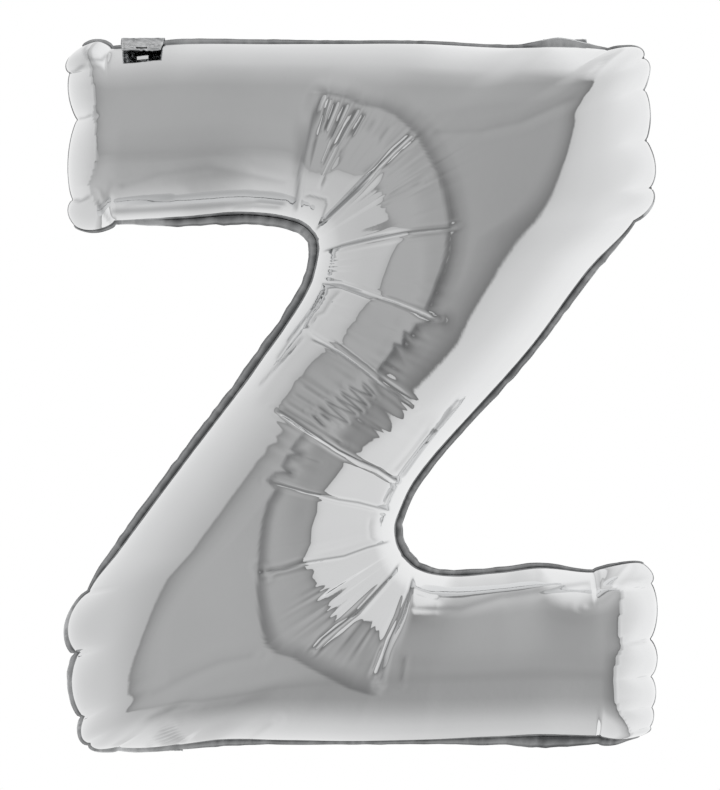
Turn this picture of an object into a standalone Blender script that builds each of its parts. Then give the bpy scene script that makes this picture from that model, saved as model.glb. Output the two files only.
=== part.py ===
"""Letter foil balloon: a large silver letter Z, inflated, with its welded seam, fill neck and hanging tabs.

Two foil sheets are welded all round the letter's outline. X runs to the right, Z up, and the front faces -Y.
The origin is the middle of the letter, on the plane of the weld.
Run it with: blender --background --python part.py
"""

import math

import bmesh
import bpy
from mathutils import Vector

MM = 0.001

# Driving dimensions, in metres
HALF_HEIGHT = 0.423  # from the middle to the top and bottom edges of the sheets
HALF_BAR = 0.1105  # half of a bar's height
HALF_WIDTH = 0.346  # from the middle to the pinches in the open ends of the two bars
CROWN = 0.095  # how far a sheet stands out over its rim
RIM_HEIGHT = 0.005  # the upright part of a sheet next to the weld
ROUND = 0.118  # the film rolls over within this distance of an edge
CREST = 0.140  # on a wide rib, the crest lies this far from the inside of the corner
END_ROUND = 0.100  # the film rolls over within this distance of a bar's end
WALL = 0.010  # the sheet's wall
WELD_THICKNESS = 0.0012
GAP = 0.0003  # between pieces that touch
WELD_PROUD = 0.004  # how far the weld stands out past the sheets
WELD_WIDER = 0.007  # how much further it stands out at the inside of a corner
WELD_FADE = 0.250  # it narrows over this distance from there
WELD_INSIDE = 0.008  # how far it reaches in between the sheets
SHARPEST_LEAN = 0.6  # the least cosine of half a corner's turn that the weld's width is divided by
ACROSS = 16  # faces across the band of the letter
END_LOBES = 4  # puffed lobes between the pinches of a bar's end
END_BULGE = 0.008  # how far an end lobe stands out past its pinches
END_FADE = 0.045  # the lobes fade out over this distance
VALLEY = (0.040, 0.009, 0.16)  # crease inside the end lobes: from the end, half width, share of the height
PINCH_DEPTH = 0.30  # share of the height lost in a pinch at the weld
PINCH_FADE = 0.022  # a pinch fades inwards over this distance
FILM = 0.0010  # the two welded films of the neck and the tabs
FOLD = 0.003  # radius of the fold where the neck and the tabs turn over
SEAT = 0.0008  # from a sheet's surface to the inner face of what lies on it, a little over a facet's bow
SLOT_WIDTH = 0.017

# The letter is one band, drawn from the left end of the top bar to the right end of the bottom bar.
# Each rib crosses it, and round a corner the ribs fan out.
# Columns: outer edge x, z; other edge x, z (millimetres); steps to the next rib; bulge of the outer edge and
# of the other edge between this rib and the next (millimetres), where the film is puckered into lobes
RIBS = (
    (-346, 423, -346, 206, 8, 0, 0),
    (-215, 423, -215, 212, 1, 0, 0),
    (-140, 423, -140, 215, 1, 0, 0),
    (-90, 423, -90, 210, 1, 0, 0),
    (-40, 423, -66, 202, 2, 0, 0),
    (60, 423, -58, 193, 2, 0, 0),
    (190, 423, -55, 186, 1, 0, 0),
    (273, 423, -54, 180, 1, 0, 0),
    (297, 416, -54, 176, 2, 9, 0),
    (338, 405, -54, 171, 2, 7, 0),
    (341, 367, -54, 166, 3, 10, 0),
    (341, 306, -55, 162, 3, 9, 0),
    (346, 249, -56, 158, 2, 8, 0),
    (326, 209, -58, 151, 1, 0, 0),
    (286, 155, -60, 144, 2, 0, 0),
    (210, 57, -66, 129, 2, 0, 0),
    (133, -27, -82, 99, 1, 0, 0),
    (101, -68, -107, 61, 1, 0, 0),
    (78, -105, -138, 20, 1, 0, 0),
    (62, -128, -185, -42, 2, 0, 0),
    (51, -146, -255, -143, 2, 0, 0),
    (46, -157, -327, -241, 3, 0, 9),
    (44, -168, -341, -312, 3, 0, 9),
    (44, -175, -335, -390, 2, 0, 7),
    (47, -183, -326, -418, 2, 0, 7),
    (49, -187, -291, -423, 2, 0, 0),
    (52, -191, -200, -423, 2, 0, 0),
    (60, -199, -60, -418, 2, 0, 0),
    (72, -207, 20, -417, 1, 0, 0),
    (90, -213, 90, -417, 2, 0, 0),
    (215, -208, 215, -416, 8, 0, 0),
    (346, -204, 346, -413, 0, 0, 0),
)
MIDDLE_RIB = 17  # before it the corner's inside is on the other edge, and after it on the outer edge
INSIDE_CORNERS = {"outer": 23, "other": 8}  # the rib at the inside of the corner, on each edge
# Steps of a bar's end, as distances from the end in millimetres
END_STEPS = (0, 6, 16, 28, 40, 54, 76, 104, 131)
# What is folded over from the weld onto a sheet. The neck lies on the sheet.
# The tabs spring off it, straight, and a slot is cut between the first two lengths of their straight part.
# Columns: name, middle x, width at the weld and at the tip, edge (1 top, -1 bottom), side (1 back, -1 front),
# angles round the film's roll where it lies on the sheet, lengths (mm) of the cross lines' straight part
FLAPS = (
    ("fill_neck", -0.231, 0.030, 0.030, -1, 1, (4, 10, 16, 22, 28, 34, 42), ()),
    ("hang_tab_left", -0.263, 0.054, 0.048, 1, -1, (4, 9, 13), (15, 24, 31)),
    ("hang_tab_right", 0.245, 0.054, 0.048, 1, 1, (4, 9, 13), (15, 24, 31)),
)
FOLD_ANGLES = (0, 60, 120, 180)


def clear_scene():
    for old in list(bpy.data.objects):
        bpy.data.objects.remove(old)


def material(name, colour, roughness):
    made = bpy.data.materials.new(name)
    made.use_nodes = True
    shader = made.node_tree.nodes["Principled BSDF"]
    shader.inputs["Base Color"].default_value = (*colour, 1.0)
    shader.inputs["Metallic"].default_value = 1.0
    shader.inputs["Roughness"].default_value = roughness
    return made


def rib_point(number, side):
    first = 0 if side == "outer" else 2
    x, z = RIBS[number][first : first + 2]
    return Vector((x * MM, z * MM))


def edge_point(number, share, side, bulge):
    """A point of the letter's edge between two ribs, bulged outwards where the film is puckered."""
    start = rib_point(number, side)
    end = rib_point(number + 1, side)
    along = (end - start).normalized()
    outward = Vector((-along.y, along.x)) * (1 if side == "outer" else -1)
    return start.lerp(end, share) + outward * (bulge * MM * math.sin(share * math.pi))


def stations():
    """Cross lines: outer and other point, how pinched each is, and whether the corner is on the other."""
    made = []
    last = len(RIBS) - 2
    for number in range(last + 1):
        steps, outer_bulge, other_bulge = RIBS[number][4:]
        for step in range(steps):
            share = step / steps
            if number == 0:
                share = END_STEPS[step] / END_STEPS[-1]
            if number == last:
                share = 1 - END_STEPS[steps - step] / END_STEPS[-1]
            outer = edge_point(number, share, "outer", outer_bulge)
            other = edge_point(number, share, "other", other_bulge)
            before = RIBS[max(number - 1, 0)]
            outer_pinch = 1.0 if step == 0 and (outer_bulge or before[5]) else 0.0
            other_pinch = 1.0 if step == 0 and (other_bulge or before[6]) else 0.0
            made.append((outer, other, outer_pinch, other_pinch, number < MIDDLE_RIB))
    made.append((rib_point(last + 1, "outer"), rib_point(last + 1, "other"), 0.0, 0.0, False))
    return made


def rise(share):
    """A quarter of a circle: from 0 at an edge to 1 where the film has rolled over."""
    return math.sqrt(1 - (1 - min(share, 1.0)) ** 2)


def end_lobe(across):
    """0 in a pinch of a bar's end and 1 in the middle of a lobe, by the share of the way across."""
    return abs(math.sin(across * END_LOBES * math.pi))


def spread(across):
    """The share of a rib's length at this share of its faces: they sit closer together towards the edges."""
    return (1 - math.cos(across * math.pi)) / 2


def place_on(station, across):
    """The point (x, z) of a sheet at this share of the way from the other edge to the outer edge."""
    outer, other = station[:2]
    point = other.lerp(outer, spread(across))
    from_end = max(HALF_WIDTH - abs(point.x), 0.0)
    top_bar = point.x < 0 and point.y > 0
    bottom_bar = point.x > 0 and point.y < 0
    if (top_bar or bottom_bar) and from_end < END_FADE:
        fade = 1 - from_end / END_FADE
        point.x += math.copysign(END_BULGE * end_lobe(across) * fade, point.x)
    return point


def crown(station, across):
    """How far the film stands out over its rim."""
    outer, other, outer_pinch, other_pinch, corner_on_other = station
    width = (outer - other).length
    from_other = spread(across) * width
    from_outer = width - from_other
    near, far = (from_other, from_outer) if corner_on_other else (from_outer, from_other)
    height = CROWN * rise(near / ROUND) * rise(far / max(ROUND, width - CREST))
    height *= 1 - PINCH_DEPTH * outer_pinch * math.exp(-from_outer / PINCH_FADE)
    height *= 1 - PINCH_DEPTH * other_pinch * math.exp(-from_other / PINCH_FADE)
    point = other.lerp(outer, spread(across))
    if (point.x < 0) == (point.y > 0):
        from_end = max(HALF_WIDTH - abs(point.x), 0.0)
        height *= rise(from_end / END_ROUND)
        height *= 1 - PINCH_DEPTH * (1 - end_lobe(across)) * math.exp(-from_end / PINCH_FADE)
        place, half_width, share = VALLEY
        height *= 1 - share * math.exp(-(((from_end - place) / half_width) ** 2))
    return height


def new_object(name, mesh_data, finish, collection):
    """A mesh object from a bmesh, which it frees."""
    mesh = bpy.data.meshes.new(name)
    mesh_data.to_mesh(mesh)
    mesh_data.free()
    made = bpy.data.objects.new(name, mesh)
    made.data.materials.append(finish)
    collection.objects.link(made)
    mesh.shade_smooth()
    return made


def solidify(made, thickness, offset):
    wall = made.modifiers.new("wall", "SOLIDIFY")
    wall.thickness = thickness
    wall.offset = offset
    return wall


def sheet(name, side, finish, collection):
    """One foil sheet: a grid laid over the band, crowned, with an upright rim down to the weld."""
    cross_lines = stations()
    grid = bmesh.new()
    bmesh.ops.create_grid(grid, x_segments=len(cross_lines) - 1, y_segments=ACROSS, size=0.5)
    for vertex in grid.verts:
        station = cross_lines[round((vertex.co.x + 0.5) * (len(cross_lines) - 1))]
        across = vertex.co.y + 0.5
        place = place_on(station, across)
        vertex.co = Vector((place.x, side * (RIM_HEIGHT + crown(station, across)), place.y))
    rim = [edge for edge in grid.edges if edge.is_boundary]
    extruded = bmesh.ops.extrude_edge_only(grid, edges=rim)["geom"]
    for vertex in extruded:
        if isinstance(vertex, bmesh.types.BMVert):
            vertex.co.y = side * (WELD_THICKNESS / 2 + GAP)
    bmesh.ops.recalc_face_normals(grid, faces=grid.faces)
    crest = max(grid.faces, key=lambda face: side * face.calc_center_median().y)
    if crest.normal.y * side < 0:
        bmesh.ops.reverse_faces(grid, faces=grid.faces)
    made = new_object(name, grid, finish, collection)
    solidify(made, WALL, -1)
    return made


def outline():
    """The closed outline in two runs: the outer edge and right end, then the other edge and left end."""
    cross_lines = stations()
    outer_run = [place_on(station, 1.0) for station in cross_lines]
    outer_run += [place_on(cross_lines[-1], 1 - step / ACROSS) for step in range(1, ACROSS)]
    other_run = [place_on(station, 0.0) for station in reversed(cross_lines)]
    other_run += [place_on(cross_lines[0], step / ACROSS) for step in range(1, ACROSS)]
    return outer_run, other_run


def weld_reach(point, side):
    """How far the weld stands out past this point of an edge: furthest at the inside of the corner."""
    away = (point - rib_point(INSIDE_CORNERS[side], side)).length
    return WELD_PROUD + WELD_WIDER * math.exp(-((away / WELD_FADE) ** 2))


def offset_outline(points, distances):
    """The outline with each point moved out, or in where its distance is negative."""
    moved = []
    for number, point in enumerate(points):
        before = (point - points[number - 1]).normalized()
        after = (points[(number + 1) % len(points)] - point).normalized()
        normal = Vector((-before.y - after.y, before.x + after.x)).normalized()
        lean = max(SHARPEST_LEAN, normal.dot(Vector((-before.y, before.x))))
        moved.append(point + normal * (distances[number] / lean))
    return moved


def weld(finish, collection):
    """The flat welded band along the outline, between the two sheets and proud of them."""
    outer_run, other_run = outline()
    points = outer_run + other_run
    reaches = [weld_reach(point, "outer") for point in outer_run]
    reaches += [weld_reach(point, "other") for point in other_run]
    rings = [offset_outline(points, reaches), offset_outline(points, [-WELD_INSIDE] * len(points))]
    band = bmesh.new()
    loops = []
    for ring in rings:
        loops.append([band.verts.new((point.x, 0, point.y)) for point in ring])
    edges = []
    for loop in loops:
        for number, vertex in enumerate(loop):
            edges.append(band.edges.new((loop[number - 1], vertex)))
    bmesh.ops.bridge_loops(band, edges=edges)
    made = new_object("weld_band", band, finish, collection)
    solidify(made, WELD_THICKNESS, 0)
    return made


def surface(edge, side, angle):
    """A point (y, z) on the roll of a bar above or below its weld, by the angle round the roll."""
    turn = math.radians(angle)
    height = CROWN * math.sin(turn) * rise((HALF_BAR * 2 - ROUND * (1 - math.cos(turn))) / ROUND)
    return Vector((side * (RIM_HEIGHT + height), edge * (HALF_HEIGHT - ROUND * (1 - math.cos(turn)))))


def flap_path(edge, side, angles, lengths):
    """From the weld's outer edge round a fold, along the sheet and then straight on, as (y, z) points."""
    start = edge * (HALF_HEIGHT + WELD_PROUD + GAP)
    path = [Vector((0, start))]
    for angle in FOLD_ANGLES:
        turn = math.radians(angle)
        out = side * FOLD * (1 - math.cos(turn))
        path.append(Vector((out, start + edge * (FILM + FOLD * math.sin(turn)))))
    for angle in angles:
        along = surface(edge, side, angle + 1) - surface(edge, side, angle - 1)
        normal = Vector((along.y, -along.x)).normalized()
        if normal.y * edge < 0:
            normal.negate()
        path.append(surface(edge, side, angle) + normal * (SEAT + FILM / 2))
    straight = (path[-1] - path[-2]).normalized()
    path += [path[-1] + straight * (length * MM) for length in lengths]
    return path


def flap(name, x, root_width, tip_width, edge, side, angles, lengths, finish, collection):
    """A flat strip of welded film, folded over from the weld, with a slot where it has a straight part."""
    path = flap_path(edge, side, angles, lengths)
    last = len(path) - 1
    strip = bmesh.new()
    bmesh.ops.create_grid(strip, x_segments=3, y_segments=last, size=0.5)
    for vertex in strip.verts:
        column = round((vertex.co.x + 0.5) * 3)
        row = round((vertex.co.y + 0.5) * last)
        half = (root_width + (tip_width - root_width) * row / last) / 2
        inner = min(SLOT_WIDTH, root_width / 3) / 2
        place = (-half, -inner, inner, half)[column]
        vertex.co = Vector((x + place, path[row].x, path[row].y))
    if lengths:
        start, end = path[-len(lengths)], path[-len(lengths) + 1]
        middle = Vector((x, (start.x + end.x) / 2, (start.y + end.y) / 2))
        slot = min(strip.faces, key=lambda face: (face.calc_center_median() - middle).length)
        bmesh.ops.delete(strip, geom=[slot], context="FACES_ONLY")
    made = new_object(name, strip, finish, collection)
    solidify(made, FILM, 0)
    return made


def main():
    clear_scene()
    collection = bpy.data.collections.new("letter_foil_balloon")
    bpy.context.scene.collection.children.link(collection)
    foil = material("foil", (0.62, 0.63, 0.64), 0.08)
    weld_foil = material("weld_foil", (0.42, 0.44, 0.45), 0.18)
    sheet("front_sheet", -1, foil, collection)
    sheet("back_sheet", 1, foil, collection)
    weld(weld_foil, collection)
    for row in FLAPS:
        flap(*row, weld_foil, collection)


main()
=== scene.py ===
"""Looks of the letter foil balloon: mirror-bright puckered film, welded seam, fill neck, hanging tabs and studio."""

import math

import bpy
import numpy as np
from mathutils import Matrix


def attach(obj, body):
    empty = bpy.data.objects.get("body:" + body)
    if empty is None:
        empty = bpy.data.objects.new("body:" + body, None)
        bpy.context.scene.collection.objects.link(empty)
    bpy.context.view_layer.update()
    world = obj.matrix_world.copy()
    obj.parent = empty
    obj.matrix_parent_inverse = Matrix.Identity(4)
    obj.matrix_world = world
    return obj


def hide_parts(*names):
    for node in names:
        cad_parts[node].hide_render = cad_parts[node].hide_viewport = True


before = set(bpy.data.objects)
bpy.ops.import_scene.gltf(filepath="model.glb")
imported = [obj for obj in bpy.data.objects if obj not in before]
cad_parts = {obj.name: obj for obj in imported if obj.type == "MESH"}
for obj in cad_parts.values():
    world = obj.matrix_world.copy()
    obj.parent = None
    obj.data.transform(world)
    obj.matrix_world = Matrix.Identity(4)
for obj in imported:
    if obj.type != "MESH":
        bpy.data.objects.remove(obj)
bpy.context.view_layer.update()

MM = 0.001
DEGREE = 180 / math.pi

# Sizes of the inflated letter, in metres
CROWN = 0.095  # how far a sheet stands out over its rim
RIM_HEIGHT = 0.002  # the upright part of a sheet next to the weld
ROUND = 0.118  # the film rolls over within this distance of an edge
HALF_WIDTH = 0.346  # to the pinches in the open ends of the two bars
END_FLAT = 0.060  # the film is level from this distance of a bar's end on
LOBE_REACH = 0.024  # a lobe's bulge fades inwards over this distance
PINCH_DEPTH = 0.32  # share of the height lost in a pinch at the weld
PINCH_REACH = 0.017  # a pinch fades inwards over this distance
FILM = 0.0006  # two welded films, as they are modelled
CORNER_MIDDLES = ((0.085, 0.240), (-0.085, -0.240))
CORNER_FULLNESS = 0.055  # share by which the film stands higher at the middle of a corner
CORNER_REACH = 0.160

# The photograph: its middle pixel lies at the origin, and a pixel is this many metres there
PIXEL = 0.0012045
PHOTO_MIDDLE = (361.5, 395.0)

# The letter is one band, drawn from the left end of the top bar to the right end of the bottom bar.
# Columns: outer edge x, z; other edge x, z (mm); faces to the next rib; lobe bulge of the outer and the other
# edge up to the next rib (mm); width of the weld past the outer and past the other edge (mm)
RIBS = (
    (-346, 419, -346, 205, 22, 8, 9, 3, 2),
    (-302, 417, -297, 209, 18, 0, 0, 4, 4),
    (-215, 423, -218, 212, 18, 0, 0, 6, 9),
    (-120, 423, -134, 217, 20, 0, 0, 5.5, 12.5),
    (-28, 423, -78, 208, 42, 0, 0, 4, 12),
    (70, 423, -67, 202, 36, 0, 0, 4, 12),
    (182, 418, -60, 195, 16, 0, 0, 4, 11),
    (240, 420, -57, 191, 15, 0, 0, 10, 10.5),
    (297, 415, -55, 187, 16, 11, 0, 3, 10),
    (338, 405, -54.5, 183.5, 14, 6, 0, 1.5, 10),
    (339, 367, -54, 180, 18, 8, 0, 1.5, 10),
    (341, 306, -53.6, 175, 18, 8, 0, 1.5, 10),
    (346, 249, -54.2, 169, 14, 11, 0, 1.5, 9.5),
    (328, 210, -55, 164, 24, 0, 0, 3, 9),
    (275, 151, -57.5, 152, 42, 0, 0, 8, 9),
    (203, 55, -63, 134, 60, 0, 0, 7, 9),
    (108, -51, -90, 88, 28, 0, 0, 6.5, 8.5),
    (83, -80, -117, 50, 30, 0, 0, 7, 9),
    (60, -112, -144, 12, 44, 0, 0, 7, 9),
    (46.4, -142, -209, -73.5, 40, 0, 0, 7, 9),
    (42.5, -153, -293, -187, 18, 0, 0, 7.5, 8),
    (41.6, -160, -328, -237, 22, 0, 17, 8, 3),
    (42.5, -171.5, -340, -310, 18, 0, 11, 8, 6),
    (44, -178, -334, -387, 12, 0, 6, 8.5, 5),
    (46.5, -184, -327, -419, 12, 0, 4, 9, 4),
    (49, -188.5, -293, -424, 18, 0, 2, 9, 5),
    (51, -193, -218, -421, 16, 0, 0, 9, 6),
    (54, -196, -167, -415.5, 26, 0, 0, 9, 7.5),
    (60, -202, -90, -416, 26, 0, 0, 8.5, 5),
    (67, -207.5, -14, -417, 22, 0, 0, 7, 4),
    (95, -215.6, 75, -415.5, 18, 0, 0, 6.5, 5),
    (167, -212.6, 160, -412.5, 12, 0, 0, 5.5, 9),
    (215, -207, 215, -411, 22, 0, 0, 5, 14),
    (279, -213, 287, -411.5, 23, 6, 4, 3, 9),
    (346, -204, 346, -410, 0, 0, 0, 2, 2),
)
MIDDLE_RIB = 17  # before it the corner's inside is on the other edge, and after it on the outer edge
# Round the outside of the two corners the film rolls over more slowly. Columns: rib, within this distance (mm)
FAR_ROUNDS = (
    (0, 118), (5, 118), (6, 124), (7, 130), (8, 128), (9, 118), (10, 113), (11, 128), (12, 172), (13, 200),
    (14, 150), (15, 118), (19, 118), (20, 142), (21, 150), (22, 118), (23, 118), (24, 124), (25, 128), (26, 122),
    (27, 118), (34, 118),
)
ACROSS = 124  # faces across the band
EDGE_FACES = 8  # the first faces from each edge, which grow step by step
NARROW = 0.215  # the width of the bars, whose faces are as fine as those near a corner's inside
BACK_STEP = 2  # the back sheet takes every second line

# Silhouette of the two open ends from the top down: photo x, y of each pinch, and the lobe's bulge below it (mm)
LEFT_END = (
    (84, 49, 12), (71, 73, 6.5), (78.5, 120, 9.5), (74, 200, 12), (84, 231, 0),
)
RIGHT_END = (
    (638, 562, 9), (650, 583, 9), (649, 639, 9), (650, 676, 6), (651, 707, 4), (649, 727, 7), (636, 736, 0),
)
# Inner border of the puffed rim at the two open ends, from the top down: photo x, y
LEFT_RIM = (
    (94, 48), (92, 60), (96, 67), (95.5, 75), (97, 85), (99.5, 93), (99.5, 105), (97, 115), (94, 120), (99, 128),
    (102, 150), (101, 165), (98, 178), (94, 187), (97, 200), (105, 210), (112, 222),
)
RIGHT_RIM = (
    (600, 570), (599, 587), (612, 588), (618, 590), (618, 597), (615, 620), (615, 630), (619, 641), (614, 653),
    (612, 665), (611.5, 680), (612, 695), (617, 710), (622, 718), (630, 728),
)

# The S-shaped band of creases between the insides of the two corners. Its places are read off the photograph
CREASE_A = ((296, 215), (300, 176), (307, 149), (315, 120), (325, 98))
CREASE_C = ((315, 232), (332, 215), (356, 193), (373, 175), (393, 154), (412, 137))
CREASE_D = ((322, 253), (342, 247), (373, 240.5), (403, 235), (447, 231), (455, 228))
CREASE_E = ((321, 284), (342, 287), (369, 298), (393, 305), (413, 313), (429, 320), (438, 320))
CREASE_F = ((308, 331), (329, 345), (347, 357), (365, 371), (388, 390), (403, 399), (414, 405))
CREASE_G = ((275, 408), (292, 418), (306, 428), (321, 437), (339, 449), (360, 460), (378, 468), (399, 482))
CREASE_H = ((269, 479), (287, 484), (307, 490), (321, 493), (339, 498), (358, 501), (380, 507), (391, 510))
CREASE_I = ((265, 569), (285, 566), (303, 560), (323, 557), (344, 554), (367, 546), (391, 540))
CREASE_J = ((400, 561), (391, 573), (376, 589), (358, 608), (338, 623), (323, 635), (313, 647))
CREASE_K = ((413, 574), (408, 592), (400, 615), (389, 636), (376, 673))
UPPER_EDGE = (
    (325, 97), (345, 101), (359, 108), (380, 112), (395, 119), (407, 129), (416, 139), (425, 154), (435, 173),
    (442, 193), (446, 213), (448, 228), (446, 238), (445, 254), (440, 273), (435, 286), (432, 295), (425, 310),
    (434, 320), (424, 324), (416, 326), (409, 336), (404, 333), (402, 347), (394, 345), (393, 351), (388, 358),
    (385, 362), (381, 366), (377, 372), (380, 377),
)
LOWER_EDGE = (
    (312, 424), (306, 432), (298, 441), (293, 448), (299, 453), (289, 455), (284, 465), (289, 471), (277, 472),
    (269, 479), (278, 488), (270, 501), (265, 519), (262, 542), (261, 563), (260, 585), (262, 607), (265, 626),
    (269, 640), (279, 648), (294, 652), (309, 661), (331, 673), (350, 683), (372, 690),
)
# The rest of the two closed lines round the band, a little past its first and last creases
UPPER_REST = ((372, 395), (295, 350), (300, 300), (310, 250), (290, 222), (275, 215), (295, 97))
LOWER_REST = ((400, 700), (430, 590), (415, 560), (400, 530), (402, 500), (410, 470), (330, 403))
# Borders up to which the film still falls towards the inside of the corner, from crease to crease
UPPER_SLOPE_END = (
    ((312, 178), (325, 180), (337, 173), (344, 176), (356, 179), (366, 177), (371, 174)),
    ((383, 171), (380.5, 185), (381, 193), (386, 196), (382, 204), (387, 210), (393, 220), (398, 229), (404, 232)),
    ((408, 238), (398, 246), (391, 256), (387, 267), (381, 281), (379, 291), (383, 298)),
    ((366, 303), (358, 313), (353, 322), (346, 328), (341, 344)),
    ((321, 349), (311, 359), (302, 370), (293, 377), (289, 386), (282, 394), (277, 403)),
)
LOWER_SLOPE_END = (
    ((410, 408), (403, 416), (397, 422), (390, 430), (384, 435), (378, 440), (367, 449), (360, 456)),
    ((349, 459), (344, 468), (337, 478), (326, 490)),
    ((320, 497), (319, 511), (314, 526), (312, 542), (309, 551), (304, 558)),
    ((306, 564), (313, 571), (317, 582), (326, 590), (319, 596), (330, 601), (326, 604), (332, 609), (336, 618)),
    ((358, 613), (360, 618), (370, 624), (379, 632), (383, 642)),
)

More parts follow.
